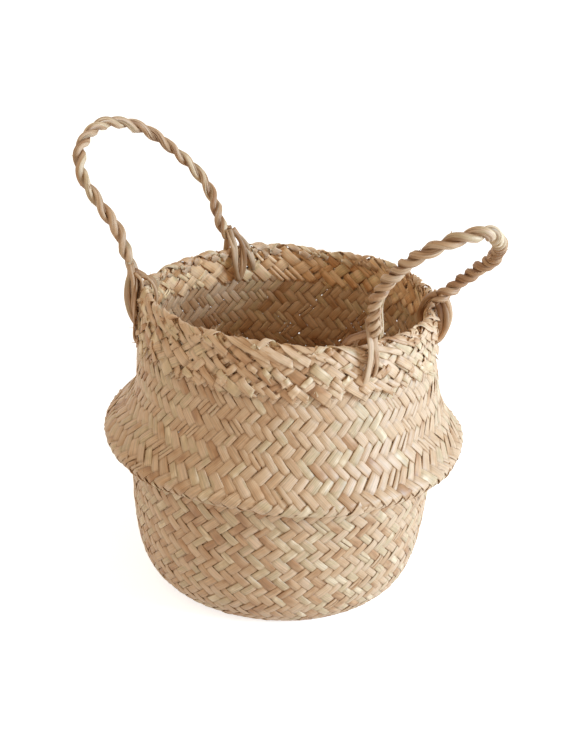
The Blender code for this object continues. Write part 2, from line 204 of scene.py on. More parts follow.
# Strands at the feet, in millimetres: half width, thickness, and points (out, round, up) from the rim's top
MILLIMETRE = 0.001
FEET = {
    "left_front": (
        (2.8, 3.8, ((12.5, -1, 16), (11.8, 0, 9), (13.2, 1, 1), (13.2, 2, -9), (10.5, 2, -20), (6, 1, -28),
                    (0, 0, -29))),
        (2.8, 3.6, ((11.8, -3, 15), (9.8, -3, 6), (9.4, -3.5, -2), (8.8, -3, -13), (6, -1, -24),
                    (1, 0, -27))),
        (2.6, 3.4, ((11.2, 2, 15), (9.2, 4, 5), (8.8, 5, -3), (8.4, 5, -14), (6, 3, -23), (0, 2, -26))),
        (2.8, 2.8, ((9, -3, 9), (3, -3, 5.5), (-3, -3, 2.5), (-6, -4, -6), (-5, -3, -18), (0, 0, -26))),
        (3, 3.4, ((9, 0, 10), (6.5, -1, 3), (6, -1, -6), (5.8, 0, -15), (3, 0, -23))),
        (2.6, 2.6, ((8.5, 2, 9), (4, 3, 4.5), (3.5, 4, -1), (5, 6, -9), (3, 7, -15))),
        (2.6, 1.4, ((8, 0, 8), (7.2, 5, 2), (7.4, 11, -8), (7.5, 17, -20), (7, 21, -30), (3, 23, -34))),
    ),
    "left_back": (
        (2.6, 3.2, ((4, 0, 15), (6, -2, 8), (8, -2, 0), (9, -1, -14), (6, 0, -26), (0, 0, -28))),
        (2.4, 2.6, ((0, 1, 14), (-2, -0.5, 7.5), (-4.5, -2, 0), (-5.5, -3, -13), (-5, -5, -22.5),
                    (-4, -6.5, -25))),
        (2.4, 2.6, ((0, -2, 14), (-2, -6.5, 7.5), (-4.5, -9, 0), (-5.5, -9.5, -12), (-5, -8, -21.5),
                    (-4, -6.5, -25))),
        (2.2, 2, ((0, -2, 13), (0, -9, 6), (-3.5, -14, -2), (-5, -17.5, -12), (-3, -19, -18))),
    ),
    "right_front": (
        (1.8, 2.2, ((5.2, 2.5, 18), (6.5, 3, 6), (7.8, 4, -3), (8.2, 5.5, -12), (6.5, 5.5, -20),
                    (2, 4, -25))),
        (3.2, 1.8, ((5.5, -1, 18), (7.2, 1, 5), (8.2, 1.5, -5), (8.5, -1, -18), (6, -3, -28), (1, -3, -30))),
        (2.4, 2.6, ((6, 0, 8), (1, -2, 5.5), (-4, -4, 1), (-5.5, -5, -8), (-4, -4, -20), (0, -2, -26))),
        (2.2, 2.6, ((5, 0, 7), (1, -4.5, 5), (-2, -9, 2.5), (-4.5, -12, -4), (-3, -13, -11))),
    ),
    "right_back": (
        (3, 4.4, ((3, 0, 12), (7.2, 1, 8), (10, 2, 0), (10.6, 2, -7), (9, 2, -15), (5.2, 1, -21),
                  (0, 0, -23))),
        (3.2, 5.6, ((3.8, 3, 5.5), (5.2, 3.5, 1.5), (5.8, 4, -3), (6, 4, -10), (5, 3, -16), (0, 0, -21))),
        (3.2, 3.6, ((2, 0, 11), (-3, 1, 8.5), (-7, 4, 2), (-9, 7, -6), (-7, 8, -18), (0, 6, -26))),
    ),
}

# How much paler the strands of a foot are, outside the rim and inside it. The right front foot's strands
# inside the rim are painted darker: painted shade for strands inside the rim.
FOOT_TONES_AND_PAINTED_SHADE = {
    "left_front": (0.05, 0.05), "left_back": (0.12, 0.12),
    "right_front": (-0.1, -0.75), "right_back": (-0.3, -0.3),
}

# Camera, from the fit to the photograph
CAMERA_DISTANCE = 0.962
CAMERA_HEIGHT_DEGREES = 25.84
CAMERA_AIM_HEIGHT = 0.11
CAMERA_PITCH_DEGREES = 2.33
CAMERA_YAW_DEGREES = -0.04
CAMERA_ROLL_DEGREES = 3.28
CAMERA_LENS = 65.23
CAMERA_SENSOR = 36.0

# Section of a strip: shares of its half width across, and of its thickness up from its middle
STRIP_SECTION = np.array((
    (-1.0, 0.0), (-0.8, 0.4), (0.0, 0.5), (0.8, 0.4), (1.0, 0.0), (0.8, -0.4), (0.0, -0.5), (-0.8, -0.4),
))
UP = np.array((0.0, 0.0, 1.0))


def unit(vectors):
    return vectors / np.linalg.norm(vectors, axis=-1, keepdims=True)


def smooth_line(points, steps):
    """Points of a smooth curve through the given ones."""
    points = np.asarray(points, float)
    ends = np.vstack((2 * points[0] - points[1], points, 2 * points[-1] - points[-2]))
    t = (np.arange(steps) / steps)[:, None]
    line = []
    for before, start, stop, after in zip(ends, ends[1:], ends[2:], ends[3:]):
        line.append(0.5 * (
            2 * start + (stop - before) * t + (2 * before - 5 * start + 4 * stop - after) * t**2
            + (3 * start - before - 3 * stop + after) * t**3
        ))
    return np.vstack((*line, points[-1:]))


def add_object(name, data):
    item = bpy.data.objects.new(name, data)
    bpy.context.scene.collection.objects.link(item)
    return item


def lengths_along(line):
    return np.concatenate(((0.0,), np.cumsum(np.linalg.norm(np.diff(line, axis=0), axis=1))))


def even_line(line, spacing):
    """The same line with its points at even spacing."""
    lengths = lengths_along(line)
    count = max(2, round(lengths[-1] / spacing))
    places = np.linspace(0.0, lengths[-1], count + 1)
    return np.stack([np.interp(places, lengths, line[:, axis]) for axis in range(3)], axis=1)


def waves(table, turn, height):
    total = 0.0
    for size, count, start, wind in table:
        total = total + size * np.sin(count * turn + start + wind * height)
    return total


def around(turn, out, up):
    """Points or directions at a turn round the basket."""
    return np.stack((out * np.cos(turn), out * np.sin(turn), up), axis=1)


def sway(turn, height):
    """How far the hand-made basket strays from a true turned shape: outwards and upwards."""
    share = np.clip(height / WAIST_HEIGHT, 0.0, 1.0)
    out = waves(WAVES_OUT, turn, height) * share
    up = waves(WAVES_UP, turn, height) * share
    for (degrees, level), (turn_spread, height_spread), (bump_out, bump_up) in BUMPS:
        swing = (turn - math.radians(degrees) + math.pi) % math.tau - math.pi
        away = (swing / math.radians(turn_spread)) ** 2 + ((height - level) / height_spread) ** 2
        out = out + bump_out * np.exp(-away)
        up = up + bump_up * np.exp(-away)
    return out, up


class Wall:
    """A turned outline, measured by the length along it from its start."""

    def __init__(self, outline):
        self.outline = np.asarray(outline, float)
        self.lengths = lengths_along(self.outline)

    def at(self, length):
        radius = np.interp(length, self.lengths, self.outline[:, 0])
        height = np.interp(length, self.lengths, self.outline[:, 1])
        return radius, height

    def place(self, turn, length, lift):
        """Points at a turn and length, lifted from the wall's outer side, with the wall's normals there."""
        small = 0.0008
        radius, height = self.at(length)
        above = self.at(length + small)
        below = self.at(length - small)
        rise = above[1] - below[1]
        run = above[0] - below[0]
        size = np.hypot(rise, run)
        out, up = rise / size, -run / size
        stray_out, stray_up = sway(turn, height)
        spread = radius + out * lift + stray_out
        level = height + up * lift + stray_up
        return around(turn, spread, level), around(turn, out, up)


def strip_faces(start, rows):
    """Faces of one strip whose corners are numbered from a start: its sides, and a cap at each end."""
    sides = len(STRIP_SECTION)
    low = start + np.arange((rows - 1) * sides).reshape(rows - 1, sides)
    beside = np.roll(low, -1, axis=1)
    quads = np.stack((low, beside, beside + sides, low + sides), axis=2)
    low_cap = list(range(start + sides - 1, start - 1, -1))
    high_cap = list(range(start + (rows - 1) * sides, start + rows * sides))
    return [*quads.reshape(-1, 4).tolist(), low_cap, high_cap]


class Strips:
    """Strips with small sections, gathered into one mesh."""

    def __init__(self):
        self.rings = []
        self.fibres = []
        self.tints = []
        self.dips = []

    def add(
        self, centre, normal, half_width, thickness, tint,
        start_skew=0.0, end_skew=0.0, roll=0.0, dip=0.0,
    ):
        """One strip along a line of points. A skew slants the cut at an end, and a roll tips it to one side.

        The dip is 1 where the strip passes through the cloth, and 0 where it lies on top of it or below. The
        materials paint shade by it: a painted shade that grows with the dip.
        """
        count = len(centre)
        along = unit(np.gradient(centre, axis=0))
        side = unit(np.cross(along, normal))
        up = np.cross(side, along)
        roll = np.broadcast_to(roll, count)[:, None]
        side, up = side * np.cos(roll) + up * np.sin(roll), up * np.cos(roll) - side * np.sin(roll)
        across = STRIP_SECTION[None, :, 0] * np.broadcast_to(half_width, count)[:, None]
        rise = STRIP_SECTION[None, :, 1] * np.broadcast_to(thickness, count)[:, None]
        ring = centre[:, None] + across[..., None] * side[:, None] + rise[..., None] * up[:, None]
        ring[0] += along[0] * across[0][:, None] * start_skew
        ring[-1] += along[-1] * across[-1][:, None] * end_skew
        fibre = np.empty(ring.shape)
        fibre[..., 0] = lengths_along(centre)[:, None]
        fibre[..., 1] = STRIP_SECTION[:, 0]
        apart, limit = 7.0, 97.0
        fibre[..., 2] = apart * len(self.rings) % limit
        self.rings.append(ring)
        self.fibres.append(fibre)
        for values, value in ((self.tints, tint), (self.dips, dip)):
            column = np.broadcast_to(value, count)[:, None]
            values.append(np.broadcast_to(column, ring.shape[:2]).ravel())

    def mesh(self, name):
        faces = []
        places = []
        start = 0
        for number, ring in enumerate(self.rings):
            faces.extend(strip_faces(start, len(ring)))
            places.append(self.layout(number, self.fibres[number][:, 0, 0]))
            start += len(ring) * len(STRIP_SECTION)
        vertices = np.concatenate([ring.reshape(-1, 3) for ring in self.rings])
        mesh = bpy.data.meshes.new(name)
        mesh.from_pydata(vertices.tolist(), [], faces)
        mesh.polygons.foreach_set("use_smooth", np.ones(len(faces), bool))
        fibres = np.concatenate([fibre.reshape(-1, 3) for fibre in self.fibres])
        # Corners on the inner side of each strip, where the materials paint light.
        inner = np.tile(STRIP_SECTION[:, 1] < 0, len(vertices) // len(STRIP_SECTION))
        self.write(mesh, "fibre", "FLOAT_VECTOR", "vector", fibres)
        self.write(mesh, "tint", "FLOAT", "value", np.concatenate(self.tints))
        self.write(mesh, "dip", "FLOAT", "value", np.concatenate(self.dips))
        self.write(mesh, "inner", "FLOAT", "value", inner)
        layer = mesh.uv_layers.new(name="OFBake")
        layer.uv.foreach_set("vector", np.concatenate(places).ravel())
        mesh.update()
        return mesh

    @staticmethod
    def write(mesh, name, kind, field, values):
        attribute = mesh.attributes.new(name, kind, "POINT")
        attribute.data.foreach_set(field, values.astype(np.float32).ravel())

    def layout(self, number, lengths):
        """Places of one strip's corners in the map: a band of its own, with the strip's length along it."""
        sides = len(STRIP_SECTION)
        count = len(self.rings)
        edge, gap, cap, cap_size = 0.01, 0.04, 0.003, 0.004
        along = edge + (1 - 2 * edge) * lengths / lengths[-1]
        band = (number + gap + (1 - 2 * gap) * np.arange(sides + 1) / sides) / count
        corners = np.empty((len(lengths) - 1, sides, 4, 2))
        corners[..., 0, 0] = corners[..., 1, 0] = along[:-1, None]
        corners[..., 2, 0] = corners[..., 3, 0] = along[1:, None]
        corners[..., 0, 1] = corners[..., 3, 1] = band[None, :-1]
        corners[..., 1, 1] = corners[..., 2, 1] = band[None, 1:]
        level = (number + 0.5 + 0.4 * STRIP_SECTION[:, 0]) / count
        reach = cap_size * STRIP_SECTION[:, 1]
        low_cap = np.stack((cap + reach, level), axis=1)[::-1]
        high_cap = np.stack((1 - cap + reach, level), axis=1)
        return np.concatenate((corners.reshape(-1, 2), low_cap, high_cap))

    def piece(self, name, material, slot, body=None):
        mesh = self.mesh(name)
        mesh.materials.append(material)
        item = add_object(name, mesh)
        if body:
            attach(item, body)
        return item


def over_under(row, over, under):
    """Height of a strip, from -1 to 1, as it passes over some rows and then under some rows."""
    period = over + under
    away = np.abs((row - (over - 1) / 2 + period / 2) % period - period / 2)
    return np.tanh(WAVE_SHARPNESS * (over / 2 - away))


def wander(size, count, length):
    """A smooth random run of values along a strip, with a few swings."""
    knots = rng.normal(0.0, size, max(3, int(length / WANDER_SPACING) + 2))
    return np.interp(np.linspace(0, len(knots) - 1, count), np.arange(len(knots)), knots)


def sliver(strips, start, way, normal, length, half_width, tint):
    """A loose fibre or a torn splinter that leaves the cloth at a point and curls a little."""
    taper = np.linspace(1.0, 0.3, 5)
    t = np.linspace(0.0, 1.0, len(taper))[:, None]
    bend = normal * 0.25 + rng.normal(0.0, 0.35, 3)
    centre = start + way * t * length + bend * (t * length) ** 2 / length
    strips.add(centre, normal, half_width * taper, half_width * 0.7, tint)


class Plait:
    """A plait on the bias on a turned wall. count strips rise and as many fall, each with its own width."""

    def __init__(self, wall, count, degrees, spans, unevenness, stray=0.05):
        self.wall = wall
        self.count = count
        self.spans = spans
        self.stray = stray
        self.slope = math.radians(degrees)
        radius = wall.outline[:, 0]
        steps = np.diff(wall.lengths) / ((radius[1:] + radius[:-1]) / 2 * math.tan(self.slope))
        self.turns = np.concatenate(((0.0,), np.cumsum(steps)))
        self.widths = {}
        self.edges = {}
        for way in (1, -1):
            widths = np.clip(rng.normal(1.0, unevenness, count), *WIDTH_LIMITS)
            self.widths[way] = widths * count / widths.sum()
            self.edges[way] = np.concatenate(((0.0,), np.cumsum(self.widths[way]))) * math.tau / count

    def row_at(self, length):
        return float(np.interp(length, self.wall.lengths, self.turns)) * self.count / math.pi

    def number_at(self, way, turn):
        """Number of the strip that starts at a turn. It is whole at the middle of a strip."""
        rounds = np.floor(turn / math.tau)
        inside = np.interp(turn - rounds * math.tau, self.edges[way], np.arange(self.count + 1))
        return rounds * self.count + inside - 0.5

    def strip(self, strips, number, way, low, high, lift, wave, fill, curl=0.0, skew=0.0, split=0.0):
        """One strip between two levels, counted in rows. Its way is 1 where it rises, and -1 where it falls.

        The lift is how far it stands off the wall at its low and high end. A curl lifts its low end more, and
        the split is the chance that it is two narrow ribbons side by side.
        """
        tint = rng.beta(1.8, 1.8)
        thickness = STRIP_THICKNESS * rng.uniform(0.85, 1.15)
        if rng.uniform() >= split:
            self.ribbon(strips, number, way, low, high, lift, wave, fill, thickness, tint, curl, skew, 0.0)
            return
        for shift in (-0.26, 0.26):
            part = fill * rng.uniform(0.42, 0.5)
            shade = tint + rng.uniform(-0.1, 0.1)
            self.ribbon(strips, number, way, low, high, lift, wave, part, thickness, shade, curl, skew, shift)

    def ribbon(self, strips, number, way, low, high, lift, wave, fill, thickness, tint, curl, skew, shift):
        levels = np.linspace(low, high, max(4, round((high - low) * STEPS_PER_ROW)))
        swing = levels * math.pi / self.count
        length = np.interp(swing, self.turns, self.wall.lengths)
        radius = self.wall.at(length)[0]
        width = self.widths[way][number]
        middle = (self.edges[way][number] + self.edges[way][number + 1]) / 2
        start = middle + shift * width * math.tau / self.count
        row = way * (self.number_at(-way, start + 2 * way * swing) - number)
        size = length[-1] - length[0]
        turn = start + way * swing + wander(self.stray, len(levels), size) * math.tau / self.count
        over = way * over_under(row, *self.spans)
        curl_rows = 0.8
        height = wave * over + wander(HEIGHT_WANDER, len(levels), size)
        height = height + curl * np.clip(1 - (levels - low) / curl_rows, 0, 1) ** 2
        rise = np.interp(levels, (low, high), lift)
        centre, normal = self.wall.place(turn, length, rise + height)
        pitch = math.tau * radius / self.count * width
        swell = 1 + wander(WIDTH_WANDER + self.stray / 3, len(levels), size)
        half = pitch * math.sin(self.slope) / 2 * fill * swell
        roll = wander(ROLL_WANDER, len(levels), size)
        # The dip marks where the strip passes from over to under, where the material paints shade.
        strips.add(centre, normal, half, thickness, tint, start_skew=skew, roll=roll, dip=1 - np.abs(over))


def outline_of_bowl():
    points = [(radius * WAIST_RADIUS, height * WAIST_HEIGHT) for radius, height in BOWL_SHARES]
    return smooth_line(points, 8)


def outline_of_upper(with_lip=True):
    """From the web's outer edge round the lip, over the belly and up the neck to the rim."""
    middle = LIP_BOTTOM + LIP_ROLL
    lip = []
    if with_lip:
        lip.append((BELLY_RADIUS - LIP_ROLL - 0.004, LIP_BOTTOM))
        for degrees in range(-90, -10, 15):
            angle = math.radians(degrees)
            lip.append((BELLY_RADIUS + LIP_ROLL * (math.cos(angle) - 1), middle + LIP_ROLL * math.sin(angle)))
    points = []
    for rise, share in SHOULDER_SHARES:
        radius = NECK_RADIUS + share * (BELLY_RADIUS - NECK_RADIUS)
        points.append((radius, middle + rise * (SHOULDER_HEIGHT - middle)))
    for rise, share in NECK_SHARES:
        radius = RIM_RADIUS + share * (NECK_RADIUS - RIM_RADIUS)
        points.append((radius, SHOULDER_HEIGHT + rise * (RIM_HEIGHT - SHOULDER_HEIGHT)))
    return np.vstack((*[np.array(point)[None] for point in lip], smooth_line(points, 8)))


def make_bowl(material):
    wall = Wall(outline_of_bowl())
    plait = Plait(wall, BOWL_STRIPS, BOWL_DEGREES, TWILL, unevenness=0.13)
    low, top = 0.3, plait.row_at(wall.lengths[-1])
    pieces = []
    for way, name in ((1, "bowl_rising_strips"), (-1, "bowl_falling_strips")):
        strips = Strips()
        for number in range(BOWL_STRIPS):
            fill = rng.uniform(*FILL[way])
            plait.strip(strips, number, way, low, top, CLOTH_LIFT, WAVE, fill, split=0.1)
        pieces.append(strips.piece(name, material, "plait", "lower"))
    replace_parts(pieces[0], "lower_wall", "footing")


def make_base(material):
    """The mat's strips cross at right angles, over one and under one, and end at its edge."""
    edge = BOWL_SHARES[0][0] * WAIST_RADIUS + 0.003
    strips = Strips()
    count = int(2 * edge / MAT_STRIP)
    angle = 0.3
    turn = np.array(((math.cos(angle), -math.sin(angle)), (math.sin(angle), math.cos(angle))))
    for quarter in (0, 1):
        for number in range(count):
            offset = (number - (count - 1) / 2) * MAT_STRIP
            reach = math.sqrt(max(edge**2 - offset**2, 0.0)) - 0.001
            if reach < MAT_STRIP:
                continue
            along = np.linspace(-reach, reach, max(6, round(2 * reach / MAT_STRIP * STEPS_PER_ROW)))
            across = np.full_like(along, offset)
            cell = along / MAT_STRIP + (count - 1) / 2
            height = (1 - 2 * quarter) * WAVE * over_under(cell + number, 1, 1)
            flat = np.stack((across, along) if quarter else (along, across), axis=1) @ turn.T
            centre = np.column_stack((flat, MAT_HEIGHT + height))
            normal = np.tile(UP, (len(along), 1))
            half_width = MAT_STRIP * rng.uniform(0.45, 0.5)
            strips.add(centre, normal, half_width, MAT_THICKNESS, rng.uniform())
    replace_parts(strips.piece("base_strips", material, "plait", "lower"), "base_mat")


def short_ring(outline, count, degrees, lift):
    """Both ways of a short ring of fine cloth, from the start of an outline to its end."""
    wall = Wall(smooth_line(outline, 4))
    plait = Plait(wall, count, degrees, TWILL, unevenness=0.1)
    top = plait.row_at(wall.lengths[-1])
    strips = Strips()
    for way in (1, -1):
        for number in range(count):
            plait.strip(strips, number, way, 0.0, top, lift, FOLD_WAVE, FOLD_FILL)
    return strips


def make_web(material):
    """Strips of the fold, down from its top inside the belly to the lip."""
    outline = (
        (WAIST_RADIUS - FOLD_LEAN, WAIST_HEIGHT + FOLD_RISE),
        (WAIST_RADIUS + FOLD_BULGE, WAIST_HEIGHT + FOLD_BULGE),
        (BELLY_RADIUS - LIP_ROLL - 0.003, LIP_BOTTOM + 0.0012),
    )
    strips = short_ring(outline, BELLY_STRIPS, BELLY_DEGREES, lift=(0.0, 0.0))
    web = strips.piece("fold_strips", material, "plait")
    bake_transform(web)
    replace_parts(web, "fold_web")


def make_waist(material):
    """The bowl's cloth goes on up inside the belly, to the top of the fold."""
    outline = (
        (WAIST_RADIUS, WAIST_HEIGHT - 0.0005),
        (WAIST_RADIUS - 0.0004, WAIST_HEIGHT + 0.003),
        (WAIST_RADIUS - FOLD_LEAN - CLOTH_LIFT[1], WAIST_HEIGHT + FOLD_RISE + 0.0003),
    )
    strips = short_ring(outline, BOWL_STRIPS, BOWL_DEGREES, CLOTH_LIFT)
    strips.piece("waist_strips", material, "plait", "lower")


def make_belly(material):
    wall = Wall(outline_of_upper())
    plait = Plait(wall, BELLY_STRIPS, BELLY_DEGREES, TWILL, unevenness=0.15)
    top = plait.row_at(wall.lengths[-1] - BAND_DEPTH + BAND_LAP)
    pieces = []
    for way, name in ((1, "belly_rising_strips"), (-1, "belly_falling_strips")):
        strips = Strips()
        for number in range(BELLY_STRIPS):
            end = top + rng.uniform(-0.4, 0.4)
            fill = rng.uniform(*FILL[way])
            plait.strip(strips, number, way, 0.0, end, CLOTH_LIFT, WAVE, fill, split=0.12)
        pieces.append(strips.piece(name, material, "plait", "upper"))
    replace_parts(pieces[0], "belly_lip", "belly_wall", "neck_wall")


def make_band(material):
    """The layer of broad strips inside the rim."""
    wall = Wall(outline_of_upper(with_lip=False))
    plait = Plait(wall, BAND_STRIPS, BAND_DEGREES, COARSE, unevenness=0.2, stray=0.1)
    top = plait.row_at(wall.lengths[-1] - RIM_MARGIN)
    low = plait.row_at(wall.lengths[-1] - BAND_DEPTH)
    strips = Strips()
    for way in (1, -1):
        for number in range(BAND_STRIPS):
            start = low + rng.uniform(-0.3, 0.3)
            fill = rng.uniform(*BAND_FILL)
            plait.strip(strips, number, way, start, top, BAND_LIFT, BAND_WAVE, fill, split=0.12)
    strips.piece("inside_band", material, "collar", "upper")


def make_collar(material):
    """The strips folded back down outside, with cut and torn ends along the lower edge."""
    wall = Wall(outline_of_upper(with_lip=False))
    plait = Plait(wall, COLLAR_STRIPS, COLLAR_DEGREES, COARSE, unevenness=0.24, stray=0.12)
    top = plait.row_at(wall.lengths[-1] - RIM_MARGIN)
    low = plait.row_at(wall.lengths[-1] - COLLAR_DEPTH)
    strips = Strips()
    for way in (1, -1):
        for number in range(COLLAR_STRIPS):
            end = low + rng.uniform(-0.45, 0.6) + (0.5 if way > 0 else 0.0)
            fill = rng.uniform(*COLLAR_FILL[way])
            curl = rng.uniform(-0.0006, 0.0018)
            skew = rng.uniform(-0.8, 0.8)
            plait.strip(
                strips, number, way, end, top, COLLAR_LIFT, COLLAR_WAVE, fill,
                curl=curl, skew=skew, split=0.08,
            )
            tear_end(strips, strips.rings[-1])
    for number in range(TAILS):
        turn = math.tau * (number + rng.uniform(-0.3, 0.3)) / TAILS
        length = rng.uniform(0.013, 0.018)
        half_width = rng.uniform(0.0024, 0.0032)
        add_tail(strips, wall, turn, -1, length, half_width)
    for number in range(FLAKES):
        turn = math.tau * (number + rng.uniform(-0.5, 0.5)) / FLAKES
        way = rng.choice((-1, 1))
        length = rng.uniform(0.006, 0.01)
        half_width = rng.uniform(0.0014, 0.0027)
        add_tail(strips, wall, turn, way, length, half_width)
    piece = strips.piece("collar_plait", material, "collar", "upper")
    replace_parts(piece, "collar_band", *[f"collar_strip_{number:02d}" for number in range(1, 25)])


def add_tail(strips, wall, turn, way, length, half_width):
    """A strip that lies on the collar. It comes out from under the plait and ends in a cut tail."""
    start = wall.lengths[-1] - rng.uniform(0.009, COLLAR_DEPTH - 0.6 * length)
    slope = math.radians(rng.uniform(32.0, 54.0))
    points = 10
    t = np.linspace(0.0, 1.0, points)
    place = start - length * math.sin(slope) * t
    radius = wall.at(place)[0]
    turns = turn - way * length * math.cos(slope) * t / radius + wander(0.004, points, length)
    lift = 0.0018 + 0.0024 * np.sin(math.pi * np.minimum(t * 1.15 + 0.05, 0.75))
    centre, normal = wall.place(turns, place, lift)
    half = half_width * (1 + wander(0.06, points, length))
    # Painted shade at the tail's root, where it comes out from under the plait.
    dip = np.clip(1 - 6 * t, 0.0, 1.0)
    roll = wander(0.1, points, length)
    tint = rng.beta(2.0, 2.0)
    skew = rng.uniform(-0.5, 0.5)
    strips.add(centre, normal, half, TAIL_THICKNESS, tint, end_skew=skew, roll=roll, dip=dip)
    tear_end(strips, strips.rings[-1][::-1])


def tear_end(strips, ring):
    """A few torn fibres at the cut end of a strip."""
    middle = ring.mean(axis=1)
    way = unit(middle[0] - middle[1])
    side = unit(ring[0, 3] - ring[0, 0])
    normal = np.cross(side, way)
    normal = normal * (1 if normal @ middle[0] > 0 else -1)
    for _ in range(rng.integers(0, 3)):
        start = middle[0] + side * rng.uniform(-0.0024, 0.0024) - way * 0.001
        length = rng.uniform(0.002, 0.0038)
        half_width = rng.uniform(0.0003, 0.0006)
        sliver(strips, start, way, normal, length, half_width, rng.uniform())


def fold_section(wall, inside_leg, outside_leg, bend):
    """Section of a blade folded over the rim, from inside to outside, as (radius, height)."""
    inside = ((inside_leg, -0.0036), (inside_leg * 0.5, -0.0033), (0.0035, -0.0026))
    outside = ((0.0045, 0.0027), (outside_leg * 0.65, 0.0037), (outside_leg, 0.0031))
    legs = []
    for depth, lift in (*inside, *outside):
        radius, height = wall.at(wall.lengths[-1] - depth)
        legs.append((radius + lift, height))
    fold = []
    for degrees in (145.0, 90.0, 35.0):
        angle = math.radians(degrees)
        radius = RIM_RADIUS - 0.0003 + bend * math.cos(angle)
        fold.append((radius, RIM_HEIGHT - FOLD_RADIUS + bend * math.sin(angle)))
    return smooth_line((*legs[:len(inside)], *fold, *legs[len(inside):]), 4)


def rim_blade_line(wall, number):
    """Points and normals of a blade that folds over the rim on the slant. Each fourth one is a pad."""
    pad = number % 4 == 3
    bend = FOLD_RADIUS * (1.12 if pad else rng.uniform(0.85, 1.2))
    outside_leg = rng.uniform(0.004, 0.0055) if pad else rng.uniform(0.006, 0.0105)
    inside_leg = rng.uniform(0.004, 0.008)
    section = fold_section(wall, inside_leg, outside_leg, bend)
    lengths = lengths_along(section)
    lengths = lengths - lengths[np.argmax(section[:, 1])]
    swing = lengths * RIM_BLADE_SLANT * (-0.45 if pad else rng.uniform(0.7, 1.25)) / RIM_RADIUS
    turn = math.tau * (number + rng.uniform(-0.25, 0.25)) / RIM_BLADES + swing
    stray_out, stray_up = sway(turn, np.full_like(turn, RIM_HEIGHT))
    radius = section[:, 0] + stray_out
    level = section[:, 1] + stray_up + rng.normal(0.0, 0.0006)
    slope = unit(np.gradient(section, axis=0))
    return around(turn, radius, level), around(turn, -slope[:, 1], slope[:, 0])


def make_rim(material):
    """Blades that fold over the rim, each lapping the last, with loose fibres."""
    wall = Wall(outline_of_upper(with_lip=False))
    strips = Strips()
    for number in range(RIM_BLADES):
        centre, normal = rim_blade_line(wall, number)
        half = RIM_BLADE_HALF_WIDTH * rng.uniform(0.65, 1.35) * (1 + wander(0.1, len(centre), 0.03))
        skews = rng.uniform(-0.7, 0.7, 2)
        tint = rng.beta(2.4, 2.4)
        roll = rng.uniform(0.1, 0.22)
        strips.add(centre, normal, half, RIM_BLADE_THICKNESS, tint, *skews, roll=roll)
        for _ in range(rng.integers(0, 4)):
            place = rng.integers(8, 24)
            way = unit(centre[place] - centre[place - 1]) * rng.choice((-1.0, 1.0))
            length = rng.uniform(0.002, 0.006)
            half_width = rng.uniform(0.00015, 0.0004)
            sliver(strips, centre[place], way, normal[place], length, half_width, rng.uniform())
    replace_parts(strips.piece("rim_blades", material, "collar", "upper"), "rim_edge")


def handle_line(handle):
    """Centre line of a handle between its two feet, and the direction out of the basket."""
    ends = []
    for degrees in handle["feet_degrees"].values():
        turn = math.radians(degrees)
        ends.append(np.array((FOOT_RADIUS * math.cos(turn), FOOT_RADIUS * math.sin(turn), AXIS_HEIGHT)))
    middle = (ends[0] + ends[1]) / 2
    half = (ends[1] - ends[0]) / 2
    out = unit(np.array((middle[0], middle[1], 0.0)))
    points = []
    lean, bow, skew = handle["tip_degrees"]
    outline = np.column_stack((handle["outline_shares"], handle["drops"]))
    for side, rise, drop in smooth_line(outline, 12):
        angle = math.radians(lean + bow * (rise - 0.5) + skew * side)
        up = UP * math.cos(angle) + out * math.sin(angle)
        points.append(middle + half * side + up * rise * handle["height"] - UP * drop)
    return np.array(points), out


def rope_centre(handle):
    """Centre line of a rope at even steps, with its ends at the feet, and the way out of the basket."""
    line, out = handle_line(handle)
    lengths = lengths_along(line)
    for away, (shift, rise) in zip((lengths, lengths[-1] - lengths), handle["end_shifts"]):
        fade = np.exp(-((away / END_FADE) ** 2))[:, None]
        line = line + fade * (out * shift + UP * rise)
    first = line[0] - unit(line[1] - line[0]) * ROOT_LENGTH
    last = line[-1] + unit(line[-1] - line[-2]) * ROOT_LENGTH
    centre = even_line(np.vstack((first, line, last)), ROPE_STEP)
    return centre[round(ROOT_TRIM / ROPE_STEP):], out


def add_ply(strips, handle, centre, away, taper, tone):
    """One ply of a rope: flattened blades that wind round it, with a few loose fibres."""
    count = len(centre)
    lengths = lengths_along(centre)
    size = lengths[-1]
    swell = taper * (1 + wander(0.07, count, size))
    ply = centre + away * (handle["ply_offset"] * swell)[:, None]
    along = unit(np.gradient(ply, axis=0))
    out = unit(away - along * (away * along).sum(1)[:, None])
    side = np.cross(along, out)
    for blade in range(BLADES):
        wind = math.tau * blade / BLADES - math.tau * lengths / BLADE_LAY
        angle = wind + wander(0.3, count, size)
        normal = out * np.cos(angle)[:, None] + side * np.sin(angle)[:, None]
        offset = BLADE_OFFSET * swell + wander(0.00025, count, size)
        half = BLADE_HALF_WIDTH * taper * (1 + wander(0.12, count, size))
        line = ply + normal * offset[:, None]
        # Painted shade: a blade is darker where it turns in towards the middle of its ply.
        dip = np.clip(0.65 - 0.85 * np.cos(angle), 0.0, 1.0)
        tint = tone + rng.uniform(*handle["tints"])
        strips.add(line, normal, half, BLADE_THICKNESS, tint, dip=dip)
        for place in rng.integers(10, count - 10, 2):
            way = unit(line[place + 1] - line[place])
            start = line[place] + normal[place] * BLADE_THICKNESS * 0.4
            length = rng.uniform(0.002, 0.0045)
            half_width = rng.uniform(0.0002, 0.0007)
            sliver(strips, start, way, normal[place], length, half_width, rng.uniform())


def add_straight_strands(strips, centre, along, third, reach):
    """Two strands that run beside the rope without winding, from its front foot up to a length along it."""
    run = lengths_along(centre) < reach
    beside = unit(np.array((1.0, 0.0, 0.0)) - along * along[:, :1])[run]
    shift = STRAIGHT_OFFSET * np.sin(np.linspace(0.35, 1.0, run.sum()) * math.pi)[:, None]
    for tint in (1.0, 0.7):
        line = centre[run] + beside * shift + third[run] * (tint - 0.85) * 0.008
        strips.add(line, beside, half_width=0.0016, thickness=0.0014, tint=tint)


